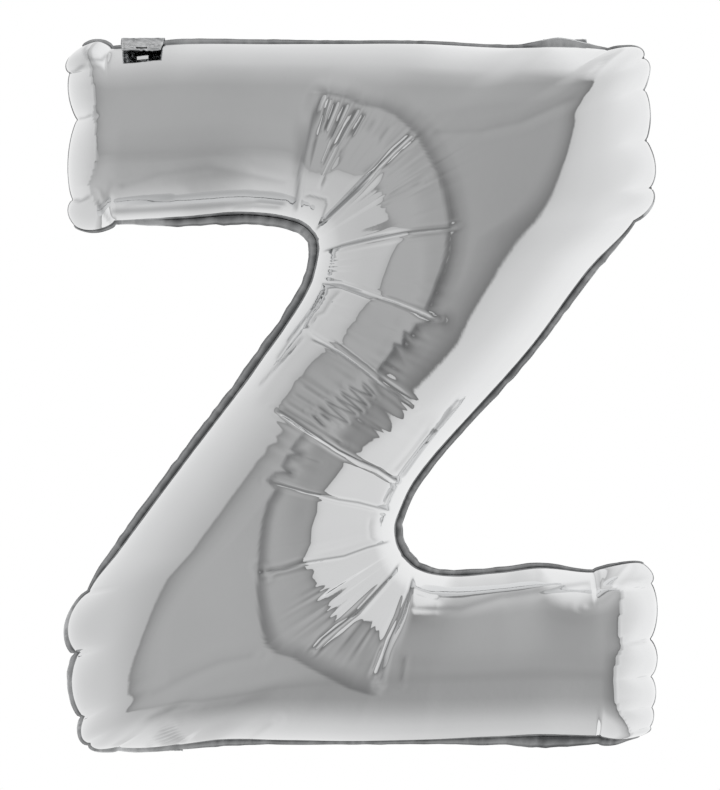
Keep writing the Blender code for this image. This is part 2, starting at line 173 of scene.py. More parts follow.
# Creases and soft folds. Columns: depth (mm, less than 0 is a ridge), half width (mm), darkness of the painted shade
# along it, places
CREASES = (
    (1.6, 2.2, 0.55, CREASE_A),
    (-1.0, 1.8, 0.0, ((299, 210), (305, 166), (310, 144), (316, 119), (331, 98))),
    (1.4, 2.0, 0.45, ((331, 100), (324, 124), (318, 142))),
    (1.6, 2.2, 0.8, ((338, 103), (334, 114), (329, 126), (324, 138))),
    (1.6, 2.2, 0.85, ((348, 105), (341, 121), (336, 133), (330, 146))),
    (1.8, 2.6, 0.75, ((359, 110), (349, 128), (341, 143), (336, 153))),
    (1.3, 2.0, 0.75, ((366, 115), (359, 128), (350, 144))),
    (-1.2, 2.0, 0.0, ((352, 128), (338, 152), (326, 176), (318, 193))),
    (-1.0, 2.0, 0.0, ((340, 126), (331, 148), (321, 172))),
    (0.4, 2.4, 0.1, ((378, 122), (366, 141))),
    (0.4, 2.4, 0.1, ((392, 128), (378, 147))),
    (0.7, 2.0, 0.4, ((303, 200), (310, 198), (326, 202), (327, 207), (321, 224), (315, 232))),
    (2.4, 2.0, 0.75, CREASE_C),
    (-1.3, 1.8, 0.0, ((319, 232), (336, 216), (360, 194), (377, 176), (396, 156), (416, 139))),
    (1.2, 3.0, 0.8, ((412, 143), (407, 148))),
    (0.5, 3.0, 0.1, ((382, 204), (396, 198), (424, 185))),
    (2.2, 2.0, 0.6, CREASE_D),
    (-1.2, 2.0, 0.0, ((336, 251), (373, 243.5), (405, 238), (447, 233))),
    (2.2, 2.0, 0.45, CREASE_E),
    (-1.6, 2.0, 0.0, ((321, 282), (343, 284), (371, 294), (397, 303), (418, 311), (436, 318))),
    (1.2, 1.8, 0.5, ((413, 315), (429, 322), (440, 321))),
    (0.9, 2.0, 0.55, ((326, 288), (315, 308), (295, 333), (285, 345))),
    (0.8, 2.6, 0.3, ((342, 290), (336, 296), (332, 300), (324, 313), (317, 316), (314, 320), (310, 328))),
    (-1.8, 2.2, 0.0, CREASE_F),
    (1.8, 1.8, 0.75, ((310, 339), (325, 346), (339, 354), (362, 370), (378, 384), (397, 396), (413, 409))),
    (1.2, 1.6, 0.55, ((333, 340), (350, 353), (368, 367), (386, 382), (405, 396), (413, 402))),
    (1.0, 1.8, 0.45, ((305, 321), (290, 341), (275, 362))),
    (0.9, 2.4, 0.35, ((306, 335), (288, 354), (258, 388))),
    (0.9, 1.5, 0.6, ((360, 380), (370, 389), (378, 398))),
    (0.9, 1.5, 0.6, ((346, 384), (358, 391), (372, 396), (360, 383))),
    (0.9, 1.5, 0.6, ((338, 389), (352, 398), (367, 405), (347, 386))),
    (0.9, 1.5, 0.6, ((332, 394), (346, 403), (362, 411), (340, 392))),
    (0.8, 1.5, 0.55, ((323, 399), (338, 407), (356, 414), (334, 396))),
    (0.8, 1.5, 0.55, ((315, 404), (330, 414), (348, 422), (326, 402))),
    (0.9, 2.4, 0.7, ((318, 411), (329, 419), (333, 422))),
    (0.9, 2.2, 0.7, ((310, 412), (323, 425), (327, 428))),
    (0.5, 1.6, 0.15, ((300, 384), (325, 400), (350, 420))),
    (0.5, 1.6, 0.15, ((292, 392), (318, 408), (344, 428))),
    (0.5, 1.6, 0.15, ((284, 400), (306, 414), (330, 430))),
    (2.0, 1.9, 0.75, CREASE_G),
    (-1.6, 1.8, 0.0, ((275, 412), (303, 431), (336, 452), (357, 464), (376, 472), (396, 485))),
    (0.9, 1.6, 0.4, ((280, 406), (300, 418), (325, 432), (345, 444))),
    (0.8, 1.8, 0.7, ((286, 470), (292, 472), (297, 474))),
    (0.5, 2.0, 0.15, ((297, 453), (325, 463))),
    (1.7, 2.0, 0.5, CREASE_H),
    (-1.2, 2.0, 0.0, ((272, 483), (305, 493), (338, 501), (380, 510))),
    (0.8, 1.7, 0.45, ((394, 483), (389, 492), (385, 499), (383, 506))),
    (0.8, 3.5, 0.2, ((392, 473), (410, 452), (430, 426))),
    (0.7, 1.7, 0.45, ((400, 479), (430, 436), (459, 397))),
    (1.8, 2.0, 0.55, CREASE_I),
    (-1.2, 2.2, 0.0, ((270, 572), (305, 563), (330, 558))),
    (1.6, 3.0, 0.8, ((262, 564), (264, 569), (267, 574))),
    (0.8, 2.4, 0.15, ((372, 514), (370, 525), (371, 536), (378, 542))),
    (1.7, 2.2, 0.6, CREASE_J),
    (-1.4, 2.2, 0.0, ((391, 576), (360, 610), (340, 626), (314, 649))),
    (1.8, 2.2, 0.6, CREASE_K),
    (-1.4, 2.0, 0.0, ((405, 590), (397, 612), (386, 636), (371, 672))),
    (0.8, 1.8, 0.4, ((405, 604), (397, 621), (385, 648), (380, 680))),
    (-0.8, 2.4, 0.0, ((413, 574), (414, 585), (430, 591), (460, 592), (520, 587), (560, 580), (588, 574))),
    (0.6, 2.6, 0.25, ((407, 605), (430, 607), (460, 606), (500, 594), (530, 590), (560, 585), (590, 581))),
    (0.3, 1.6, 0.3, ((405, 649), (400, 680))),
    (0.8, 2.2, 0.45, ((110, 213), (150, 211), (200, 208), (240, 205), (262, 203), (290, 206))),
    (0.5, 2.0, 0.4, ((230, 208), (250, 207), (285, 209))),
    (0.6, 4.0, 0.15, ((125, 208), (150, 203), (180, 199))),
    (0.5, 4.0, 0.1, ((120, 190), (165, 177), (215, 170), (255, 178), (290, 186))),
    (0.5, 5.0, 0.08, ((578, 101), (560, 108), (520, 126), (480, 135), (430, 137))),
    (0.6, 4.0, 0.1, ((605, 57), (602, 65), (597, 72), (590, 78), (582, 83))),
    (1.2, 1.8, 0.45, ((66, 72), (80, 74), (95, 69))),
    (1.2, 1.8, 0.45, ((72, 120), (85, 121), (98, 118))),
    (1.2, 1.8, 0.45, ((70, 199), (84, 201), (98, 195))),
    (0.9, 1.8, 0.40, ((84, 46), (89, 57), (96, 66), (106, 65), (112, 54))),
    (0.9, 1.8, 0.40, ((98, 196), (105, 207), (114, 222))),
    (0.5, 3.0, 0.15, ((619, 641), (632, 640), (646, 639))),
    (0.5, 5.0, 0.08, ((580, 605), (600, 600), (615, 590), (630, 575), (638, 563))),
    (0.7, 1.8, 0.4, ((155, 739), (152, 743), (152, 749), (154, 754))),
    (0.9, 2.0, 0.4, ((190, 742), (180, 734), (174, 725), (171, 718))),
    (0.9, 2.0, 0.4, ((188, 742), (176, 737), (168, 730), (163, 722))),
    (0.8, 2.0, 0.35, ((184, 743), (172, 741), (162, 735), (158, 728))),
    (0.8, 2.0, 0.35, ((182, 745), (170, 744), (160, 741))),
    (0.7, 2.0, 0.3, ((178, 747), (168, 748), (160, 752))),
    (-0.7, 2.4, 0.0, ((186, 740), (178, 730), (175, 716))),
    (-0.7, 2.4, 0.0, ((183, 741), (170, 734), (163, 728))),
    (0.5, 5.0, 0.1, ((278, 716), (262, 728), (245, 742))),
    (0.35, 6.0, 0.08, ((150, 690), (170, 682), (198, 668), (225, 657), (262, 650))),
    (0.4, 3.0, 0.1, ((150, 714), (180, 703), (198, 700))),
)

# Fine ripples that run across the band. Columns: middle (photo x, y), reach (mm), height (mm)
RIPPLES = (
    (400, 170, 55, 0.12), (420, 250, 50, 0.07), (402, 340, 26, 0.55), (388, 362, 20, 0.45), (342, 402, 38, 0.40),
    (320, 385, 30, 0.12), (392, 422, 26, 0.36), (290, 455, 24, 0.55), (330, 305, 24, 0.34), (350, 330, 20, 0.3),
    (337, 265, 16, 0.35), (305, 560, 30, 0.06), (326, 598, 24, 0.42), (315, 610, 30, 0.16), (360, 640, 30, 0.16),
    (275, 540, 40, 0.05), (345, 140, 34, 0.20), (425, 300, 24, 0.3),
)
RIPPLE_STEP = 3  # cross lines from one value of the ripples to the next
SEED = 7


def from_photo(points):
    """Points of the photograph as (x, z) on the balloon's middle plane, in metres."""
    points = np.asarray(points, float)
    return np.stack([(points[:, 0] - PHOTO_MIDDLE[0]), (PHOTO_MIDDLE[1] - points[:, 1])], axis=1) * PIXEL


def unit(vectors):
    return vectors / np.maximum(np.linalg.norm(vectors, axis=-1, keepdims=True), 1e-9)


def lobe(share):
    """Outline of a puffed lobe between two pinches, from 0 to 1 and back."""
    return np.sin(np.clip(share, 0, 1) * math.pi) ** 0.6


def rise(share):
    """A quarter of a circle: 0 at an edge, 1 where the film has rolled over."""
    return np.sqrt(1 - (1 - np.clip(share, 0, 1)) ** 2)


def smooth(value, low, high):
    share = np.clip((value - low) / (high - low), 0, 1)
    return share * share * (3 - 2 * share)


def lower_of(first, second, softness):
    """The lower of two surfaces, rounded where they meet."""
    return -softness * np.logaddexp(-first / softness, -second / softness)


def smooth_line(points, counts):
    """A smooth line through the points, with so many steps from each to the next."""
    line = []
    last = len(points) - 1
    for number in range(last):
        start, end = points[number], points[number + 1]
        reach = np.linalg.norm(end - start)
        leave = unit(unit(end - start) + unit(start - points[max(number - 1, 0)])) * reach
        arrive = unit(unit(end - start) + unit(points[min(number + 2, last)] - end)) * reach
        share = (np.arange(counts[number]) / counts[number])[:, None]
        square, cube = share**2, share**3
        line.append(
            start * (2 * cube - 3 * square + 1)
            + leave * (cube - 2 * square + share)
            + end * (3 * square - 2 * cube)
            + arrive * (cube - square)
        )
    line.append(points[-1][None, :])
    return np.vstack(line)


def along_ribs(column):
    """A column of the ribs' table for every cross line, smoothly from rib to rib."""
    counts = [row[4] for row in RIBS[:-1]]
    values = np.array([row[column] for row in RIBS], float)
    numbers = np.concatenate([[0], np.cumsum(counts)])
    place = np.arange(numbers[-1] + 1)
    share = np.interp(place, numbers, np.arange(len(RIBS)))
    low = np.minimum(np.floor(share).astype(int), len(RIBS) - 2)
    part = smooth(share - low, 0, 1)
    return values[low] * (1 - part) + values[low + 1] * part


def lobes_along(column):
    """How far the film bulges out past an edge at every cross line, and 1 in a pinch or 0 in a lobe's middle."""
    bulge = []
    pinch = []
    for row in RIBS[:-1]:
        share = np.arange(row[4]) / row[4]
        shape = lobe(share)
        bulge.append(row[column] * MM * shape)
        pinch.append((1 - shape) * (row[column] > 0))
    return np.append(np.concatenate(bulge), 0.0), np.append(np.concatenate(pinch), 0.0)


def end_shape(table, height, side):
    """For heights z at a bar's end: how far the end reaches past the half width, and 0 in a pinch, 1 in a lobe."""
    places = from_photo([row[:2] for row in table])[::-1]
    bulges = np.array([row[2] for row in table[:-1]], float)[::-1] * MM
    which = np.clip(np.searchsorted(places[:, 1], height) - 1, 0, len(bulges) - 1)
    share = (height - places[which, 1]) / (places[which + 1, 1] - places[which, 1])
    share = np.clip(share, 0, 1)
    base = places[which, 0] * (1 - share) + places[which + 1, 0] * share
    return base * side - HALF_WIDTH + bulges[which] * lobe(share), lobe(share)


def to_line(place, points):
    """Distance of places from a line through photo points: more than 0 on its left as it is walked along."""
    line = from_photo(points)
    best = np.full(place.shape[:-1], np.inf)
    side = np.ones(place.shape[:-1])
    for start, end in zip(line[:-1], line[1:]):
        step = end - start
        share = np.clip(((place - start) @ step) / (step @ step), 0, 1)
        away = place - start - share[..., None] * step
        distance = np.hypot(away[..., 0], away[..., 1])
        nearer = distance < best
        best = np.where(nearer, distance, best)
        left = np.sign(step[0] * away[..., 1] - step[1] * away[..., 0])
        side = np.where(nearer, left, side)
    return best * np.where(side == 0, 1, side)


def inside_of(place, points):
    """Whether places lie inside a closed line through photo points."""
    line = from_photo(points)
    inside = np.zeros(place.shape[:-1], bool)
    for start, end in zip(line, np.roll(line, -1, axis=0)):
        spans = (start[1] > place[..., 1]) != (end[1] > place[..., 1])
        climb = end[1] - start[1] if end[1] != start[1] else 1e-9
        cross = start[0] + (place[..., 1] - start[1]) * (end[0] - start[0]) / climb
        inside ^= spans & (place[..., 0] < cross)
    return inside


class Film:
    """The places (x, z) of a sheet's vertices and its height over the weld, as grids: cross lines by faces across."""

    def __init__(self):
        counts = [row[4] for row in RIBS[:-1]]
        table = np.array([row[:4] for row in RIBS]) * MM
        self.outer = smooth_line(table[:, 0:2], counts)
        self.other = smooth_line(table[:, 2:4], counts)
        self.lines = len(self.outer)
        self.middle = sum(counts[:MIDDLE_RIB])
        self.width = np.linalg.norm(self.outer - self.other, axis=1)[:, None]
        self.share = self.shares_across()
        self.place = self.other[:, None] + (self.outer - self.other)[:, None] * self.share[:, :, None]
        self.from_other = self.share * self.width
        self.from_outer = self.width - self.from_other
        corner_on_other = (np.arange(self.lines) < self.middle)[:, None]
        self.near = np.where(corner_on_other, self.from_other, self.from_outer)
        self.far = np.where(corner_on_other, self.from_outer, self.from_other)
        # Painted shade: the share of darker colour painted on each vertex, in creases, beside the band's edges and just
        # inside the rims
        self.painted_shade = np.zeros(self.share.shape)
        starts = {}
        for name, points in (("A", CREASE_A), ("F", CREASE_F), ("G", CREASE_G), ("K", CREASE_K)):
            middle = points[len(points) // 2]
            starts[name] = self.nearest(middle)[0]
        self.starts = starts

    def shares_across(self):
        """Faces grow from each edge, and away from the corner's inside on a wide rib."""
        middles = (np.arange(ACROSS) + 0.5) / ACROSS
        edge = np.minimum(np.minimum(middles, 1 - middles) * ACROSS / EDGE_FACES, 1)
        fine = np.clip(NARROW / self.width, 0, 1)
        from_other = edge * (fine + 3 * (1 - fine) * middles**2)
        from_outer = edge * (fine + 3 * (1 - fine) * (1 - middles) ** 2)
        turn = smooth(np.arange(self.lines), self.middle - 60, self.middle + 60)[:, None]
        steps = from_other * (1 - turn) + from_outer * turn
        shares = np.cumsum(steps, axis=1)
        return np.hstack([np.zeros((self.lines, 1)), shares / shares[:, -1:]])

    def nearest(self, point):
        """The cross line and the vertex on it that are nearest to a photo point."""
        x, z = from_photo([point])[0]
        away = (self.place[:, :, 0] - x) ** 2 + (self.place[:, :, 1] - z) ** 2
        return np.unravel_index(np.argmin(away), away.shape)

    def between(self, first, last, fade=6):
        """1 on the cross lines between two creases, fading to 0 at both."""
        lines = np.arange(self.lines)
        start, end = self.starts[first], self.starts[last]
        return (smooth(lines, start - fade, start + fade) * (1 - smooth(lines, end - fade, end + fade)))[:, None]

    def slope_end(self, gores, distance):
        """For every cross line, how far from the corner's inside the film's slope ends."""
        lines = []
        reach = []
        for gore in gores:
            for point in gore:
                line, vertex = self.nearest(point)
                lines.append(line)
                reach.append(distance[line, vertex])
        order = np.argsort(lines, kind="stable")
        found = np.interp(np.arange(self.lines), np.array(lines)[order], np.array(reach)[order])
        kernel = np.array([1, 2, 3, 2, 1]) / 9
        return np.convolve(np.pad(found, 2, mode="edge"), kernel, mode="valid")[:, None]

    def fan(self, distance, end):
        """Height over the weld as a share of the crown: a straight fall to the inside of a corner, nearly flat past it."""
        start = 0.038 * rise(distance / 0.030) + 0.010 * (1 - np.exp(-distance / 0.018))
        at_end = CROWN * rise(end / ROUND)
        slope = (at_end - 0.048) / end
        past = np.maximum((CROWN - at_end) / np.maximum(0.130 - end, 0.02), 0.02)
        height = lower_of(start + slope * distance, at_end + past * (distance - end), 0.0012)
        level = smooth(distance, 0.110, 0.150)
        return lower_of(height, CROWN + 0.001, 0.0008) / CROWN * (1 - level) + level

    def crown(self):
        """The main form: rolled over from both edges and from the bars' ends, and fullest at the two corners."""
        before = (np.arange(self.lines) < self.middle)[:, None]
        starts = np.concatenate([[0], np.cumsum([row[4] for row in RIBS[:-1]])])
        ribs = [starts[row[0]] for row in FAR_ROUNDS]
        far_round = np.interp(np.arange(self.lines), ribs, [row[1] * MM for row in FAR_ROUNDS])
        even = np.hanning(31) / np.hanning(31).sum()
        far_round = np.convolve(np.pad(far_round, 15, mode="edge"), even, mode="valid")[:, None]
        other = np.where(before, rise(self.from_other / ROUND), rise(self.from_other / far_round))
        outer = np.where(before, rise(self.from_outer / far_round), rise(self.from_outer / ROUND))
        upper = self.between("A", "G")
        lower = self.between("F", "K")
        other = other + upper * (self.fan(self.from_other, self.slope_end(UPPER_SLOPE_END, self.from_other)) - other)
        outer = outer + lower * (self.fan(self.from_outer, self.slope_end(LOWER_SLOPE_END, self.from_outer)) - outer)
        height = CROWN * other * outer
        for x, z in CORNER_MIDDLES:
            away = np.hypot(self.place[:, :, 0] - x, self.place[:, :, 1] - z)
            height = height * (1 + CORNER_FULLNESS * np.exp(-((away / CORNER_REACH) ** 2)))
        for side, rim in ((-1, LEFT_RIM), (1, RIGHT_RIM)):
            here = self.at_end(side)
            from_end = np.maximum(HALF_WIDTH - self.place[:, :, 0] * side, 0)
            border = from_photo(rim)[::-1]
            rim_width = HALF_WIDTH - np.interp(self.place[:, :, 1], border[:, 1], border[:, 0]) * side
            height = np.where(here, height * end_share(from_end, rim_width), height)
        return height

    def at_end(self, side):
        return (self.place[:, :, 0] * side > 0) & (self.place[:, :, 1] * side < 0)

    def raise_band(self, height):
        """The edge of the band of creases: the upper half falls off outside it and the lower half inside it, with a
        strip of painted shade beside it.
        """
        distance = np.abs(to_line(self.place, UPPER_EDGE))
        within = inside_of(self.place, UPPER_EDGE + UPPER_REST)
        held = self.between("A", "F", 4)
        fall = 0.0030 * np.where(within, 1, (1 - np.clip(distance / 0.026, 0, 1)) ** 2)
        height = height + fall * held * smooth(self.from_other, 0.0, 0.06)
        # Painted shade in a strip outside the upper edge
        shade = 0.35 * held * edge_shade(np.where(within, -distance, distance), 0.016) * self.jagged()
        self.painted_shade = np.maximum(self.painted_shade, shade)
        distance = np.abs(to_line(self.place, LOWER_EDGE))
        within = inside_of(self.place, LOWER_EDGE + LOWER_REST)
        held = self.between("G", "K", 4)
        reach = 0.013 + 0.010 * smooth(-self.place[:, :, 1], 0.22, 0.32)
        sink = 0.095 * reach * np.where(within, 1 - (1 - np.clip(distance / reach, 0, 1)) ** 2, 0)
        height = height - sink * held * smooth(self.from_outer, 0.0, 0.06)
        # Painted shade in a strip inside the lower edge
        shade = 0.45 * held * edge_shade(np.where(within, distance, -distance), reach) * self.jagged()
        self.painted_shade = np.maximum(self.painted_shade, shade)
        return height

    def jagged(self):
        """1, and more where the band's edge is jagged and its strip of shade is darkest."""
        more = np.ones(self.share.shape)
        for x, y, reach, amount in ((402, 345, 32, 0.9), (388, 366, 24, 0.9), (292, 455, 26, 0.4), (436, 290, 26, 0.8)):
            away = np.linalg.norm(self.place - from_photo([(x, y)])[0], axis=-1)
            more = more + amount * np.exp(-((away / (reach * MM)) ** 2))
        return np.minimum(more, 2.0)

    def shade_rims(self):
        """Painted shade on the film just inside the rims of the open ends, darkest next to them."""
        for side, rim in ((-1, LEFT_RIM), (1, RIGHT_RIM)):
            border = from_photo(rim)[::-1]
            inwards = (np.interp(self.place[:, :, 1], border[:, 1], border[:, 0]) - self.place[:, :, 0]) * side
            shade = 0.30 * self.at_end(side) * np.where(inwards > 0, (1 - np.clip(inwards / 0.015, 0, 1)) ** 2, 0)
            self.painted_shade = np.maximum(self.painted_shade, shade)

    def press_creases(self, height):
        """Sharp valleys and ridges along the lines of the creases' table, never finer than the mesh can show, with
        painted shade along them.
        """
        spacing = np.linalg.norm(np.gradient(self.place, axis=0), axis=-1)
        for depth, half, painted_darkness, points in CREASES:
            distance = np.abs(to_line(self.place, points))
            ends = from_photo([points[0], points[-1]])
            from_ends = np.minimum(
                np.linalg.norm(self.place - ends[0], axis=-1), np.linalg.norm(self.place - ends[1], axis=-1)
            )
            fade = smooth(from_ends, 0.0, 0.009)
            wide = np.maximum(half * MM, 1.15 * spacing)
            valley = np.exp(1 - np.sqrt(1 + (distance / (0.62 * wide)) ** 2))
            ridge = np.exp(-((distance / wide - 2.4) ** 2))
            height = height - 0.85 * depth * MM * fade * (valley - 0.2 * ridge)
            narrow = np.maximum(0.7 * half * MM, 0.9 * spacing)
            # Painted shade along the crease, darkest on its line
            self.painted_shade = np.maximum(self.painted_shade, painted_darkness * fade * np.exp(-((distance / narrow) ** 2)))
        return height

    def ripple(self, height):
        """Fine ripples that run along the ribs, so that the borders of reflections turn jagged."""
        chance = np.random.default_rng(SEED)
        knots = np.arange(0, self.lines + RIPPLE_STEP, RIPPLE_STEP)
        lines = np.arange(self.lines)
        waves = [np.interp(lines, knots, chance.normal(size=len(knots))) for _ in range(3)]
        waves = [np.convolve(np.pad(wave, 1, mode="edge"), (0.25, 0.5, 0.25), mode="valid") for wave in waves]
        turn = self.near / 0.045
        pattern = waves[0][:, None] * np.cos(turn) + waves[1][:, None] * np.sin(turn)
        pattern = pattern + 0.6 * waves[2][:, None] * np.cos(2.3 * turn)
        strength = np.zeros(self.share.shape)
        for x, y, reach, amount in RIPPLES:
            middle = from_photo([(x, y)])[0]
            away = np.linalg.norm(self.place - middle, axis=-1)
            strength = np.maximum(strength, amount * MM * np.exp(-((away / (reach * MM)) ** 2)))
        return height + pattern * strength * smooth(self.near, 0.005, 0.03)

    def puff_lobes(self, height):
        """Pushes the film out into lobes along the pinched edges and ends, and presses it down at the pinches."""
        outer_bulge, outer_pinch = lobes_along(5)
        other_bulge, other_pinch = lobes_along(6)
        across = unit(self.outer - self.other)[:, None, :]
        outer_fade = np.exp(-((self.from_outer / LOBE_REACH) ** 2))
        other_fade = np.exp(-((self.from_other / LOBE_REACH) ** 2))
        shift = outer_bulge[:, None] * outer_fade - other_bulge[:, None] * other_fade
        moved = self.place + across * shift[:, :, None]
        height = height * (1 - PINCH_DEPTH * outer_pinch[:, None] * pinch_fade(self.from_outer))
        height = height * (1 - PINCH_DEPTH * other_pinch[:, None] * pinch_fade(self.from_other))
        for side, table in ((-1, LEFT_END), (1, RIGHT_END)):
            here = self.at_end(side)
            from_end = np.maximum(HALF_WIDTH - self.place[:, :, 0] * side, 0)
            push, shape = end_shape(table, self.place[:, :, 1], side)
            fade = np.exp(-((from_end / (1.3 * LOBE_REACH)) ** 2))
            moved[:, :, 0] += np.where(here, side * push * fade, 0)
            pressed = 1 - PINCH_DEPTH * (1 - shape) * pinch_fade(from_end)
            height = np.where(here, height * pressed, height)
        self.place = moved
        return height


def pinch_fade(distance):
    """How much of a pinch is left this far from the edge."""
    return np.exp(-((distance / PINCH_REACH) ** 2))


def edge_shade(distance, reach):
    """A strip on one side of a line, darkest next to it."""
    return np.where(distance > 0, (1 - np.clip(distance / reach, 0, 1)) ** 1.5, np.exp(-((distance / 0.0022) ** 2)))


def end_share(from_end, rim_width):
    """Share of the crown's height at a bar's end: a puffed rim, a fold at its inner border, then soon level."""
    at_rim = 0.980
    rim = 1.014 * rise(from_end / (1.42 * rim_width))
    past = np.clip((from_end - rim_width) / (END_FLAT - rim_width), 0, 1)
    return np.where(from_end < rim_width, np.minimum(rim, at_rim), at_rim + (1 - at_rim) * (1 - (1 - past) ** 2))


def grid_object(name, place, depth, painted_shade):
    """A sheet-like mesh over a grid of places, standing out by the depths."""
    rows, columns = depth.shape
    bpy.ops.object.select_all(action="DESELECT")
    bpy.ops.mesh.primitive_grid_add(x_subdivisions=columns - 1, y_subdivisions=rows - 1, size=1)
    made = bpy.context.object
    made.name = made.data.name = name
    points = np.stack([place[:, :, 0], depth, place[:, :, 1]], axis=-1).reshape(-1, 3)
    made.data.vertices.foreach_set("co", points.astype(np.float32).ravel())
    # The painted shade of each vertex, which the film's material mixes in as a darker colour
    shade = made.data.attributes.new("painted_shade", "FLOAT", "POINT")
    shade.data.foreach_set("value", painted_shade.astype(np.float32).ravel())
    made.data.update()
    made.data.shade_smooth()
    return made


def math_node(tree, operation, *values):
    node = tree.nodes.new("ShaderNodeMath")
    node.operation = operation
    for socket, value in zip(node.inputs, values):
        if isinstance(value, (int, float)):
            socket.default_value = value
        else:
            tree.links.new(value, socket)
    return node.outputs[0]


def ramp_node(tree, value, low, high, stops):
    """A grey ramp over a value, whose stops are (value, grey)."""
    span = tree.nodes.new("ShaderNodeMapRange")
    span.inputs["From Min"].default_value = low
    span.inputs["From Max"].default_value = high
    tree.links.new(value, span.inputs["Value"])
    ramp = tree.nodes.new("ShaderNodeValToRGB")
    ramp.color_ramp.interpolation = "LINEAR"
    elements = ramp.color_ramp.elements
    while len(elements) < len(stops):
        elements.new(0.5)
    for element, (place, grey) in zip(elements, stops):
        element.position = (place - low) / (high - low)
        element.color = (grey, grey, grey, 1)
    tree.links.new(span.outputs["Result"], ramp.inputs["Fac"])
    return ramp.outputs["Color"]


def mix_node(tree, blend, amount, first, second):
    node = tree.nodes.new("ShaderNodeMix")
    node.data_type = "RGBA"
    node.blend_type = blend
    if isinstance(amount, float):
        node.inputs["Factor"].default_value = amount
    else:
        tree.links.new(amount, node.inputs["Factor"])
    for socket, value in ((node.inputs[6], first), (node.inputs[7], second)):
        if isinstance(value, tuple):
            socket.default_value = value
        else:
            tree.links.new(value, socket)
    return node.outputs[2]


def film_group():
    """Shared look of metallised film: fine crinkles as a normal, and a mask of random cloudy dullness."""
    group = bpy.data.node_groups.new("crinkled_film", "ShaderNodeTree")
    for name in ("Crinkle size", "Crinkle depth", "Cloudiness"):
        group.interface.new_socket(name, in_out="INPUT", socket_type="NodeSocketFloat")
    group.interface.new_socket("Crinkle height", in_out="OUTPUT", socket_type="NodeSocketFloat")
    group.interface.new_socket("Cloud", in_out="OUTPUT", socket_type="NodeSocketFloat")
    start = group.nodes.new("NodeGroupInput")
    end = group.nodes.new("NodeGroupOutput")
    places = group.nodes.new("ShaderNodeTexCoord").outputs["Object"]
    wrinkles = group.nodes.new("ShaderNodeTexNoise")
    wrinkles.inputs["Detail"].default_value = 4.0
    wrinkles.inputs["Roughness"].default_value = 0.55
    group.links.new(places, wrinkles.inputs["Vector"])
    group.links.new(start.outputs["Crinkle size"], wrinkles.inputs["Scale"])
    depth = math_node(group, "MULTIPLY", wrinkles.outputs[0], start.outputs["Crinkle depth"])
    group.links.new(depth, end.inputs["Crinkle height"])
    clouds = group.nodes.new("ShaderNodeTexNoise")
    clouds.inputs["Scale"].default_value = 9.0
    clouds.inputs["Detail"].default_value = 3.0
    group.links.new(places, clouds.inputs["Vector"])
    cloud = math_node(group, "MULTIPLY", clouds.outputs[0], start.outputs["Cloudiness"])
    group.links.new(cloud, end.inputs["Cloud"])
    return group


def film_material(name, group, bright, shade_and_cloud_colour, roughness, crinkle):
    """Metallised film. bright is its colour where it is flat and unshaded, and the second colour is mixed in by the
    painted shade on the mesh and by random clouds; crinkle is (size, depth).
    """
    made = bpy.data.materials.new(name)
    made.use_nodes = True
    tree = made.node_tree
    shader = tree.nodes["Principled BSDF"]
    shader.inputs["Metallic"].default_value = 1.0
    film = tree.nodes.new("ShaderNodeGroup")
    film.node_tree = group
    film.inputs["Crinkle size"].default_value = crinkle[0]
    film.inputs["Crinkle depth"].default_value = crinkle[1]
    film.inputs["Cloudiness"].default_value = 0.10
    shade_attribute_node = tree.nodes.new("ShaderNodeAttribute")
    shade_attribute_node.attribute_name = "painted_shade"
    # Painted shade from the mesh, plus random clouds of dullness, mixes in the second colour
    shade_and_cloud = math_node(tree, "MINIMUM", math_node(tree, "ADD", shade_attribute_node.outputs["Fac"], film.outputs["Cloud"]), 1.0)
    colour = mix_node(tree, "MIX", shade_and_cloud, bright, shade_and_cloud_colour)
    tree.links.new(colour, shader.inputs["Base Color"])
    rough = math_node(tree, "ADD", roughness, math_node(tree, "MULTIPLY", shade_attribute_node.outputs["Fac"], 0.12))
    tree.links.new(rough, shader.inputs["Roughness"])
    bump = tree.nodes.new("ShaderNodeBump")
    bump.inputs["Strength"].default_value = 1.0
    bump.inputs["Distance"].default_value = 0.001
    tree.links.new(film.outputs["Crinkle height"], bump.inputs["Height"])
    tree.links.new(bump.outputs["Normal"], shader.inputs["Normal"])
    return made


# The studio's light, by the degrees that a direction lies upwards, sideways or away from the camera's own.
# The room behind the camera is dark, and the white walls of the light tent begin at its borders
ROOM_BY_UP = (
    (-180, 0.92), (-131, 0.88), (-102, 0.78), (-90, 0.69), (-79, 0.58), (-70, 0.50), (-60, 0.43), (-35, 0.41),
    (-20, 0.45), (0, 0.462), (50, 0.47), (58, 0.47), (65, 0.51), (75, 0.57), (85, 0.64), (95, 0.71), (120, 0.82), (180, 0.95),
)
ROOM_BY_SIDE = (
    (-180, 1.0), (-20, 1.0), (-5, 1.0), (6, 0.84), (15, 0.80), (28, 0.74), (35, 0.72), (180, 0.72),
)
RIGHT_WALL_BY_AWAY = (
    (0, 0.56), (25, 0.61), (32, 0.67), (45, 0.72), (60, 0.76), (75, 0.83), (90, 0.90), (110, 0.95), (180, 0.98),
)
LEFT_WALL_BY_AWAY = (
    (0, 0.46), (30, 0.50), (45, 0.545), (60, 0.60), (75, 0.66), (90, 0.71), (130, 0.82), (180, 0.95),
)
# The room darkens towards its borders, by the degrees from the border outwards
BORDER_SHADE = ((-30, 1.0), (-20, 0.97), (-11, 0.88), (-5, 0.76), (0, 0.60), (10, 0.60))
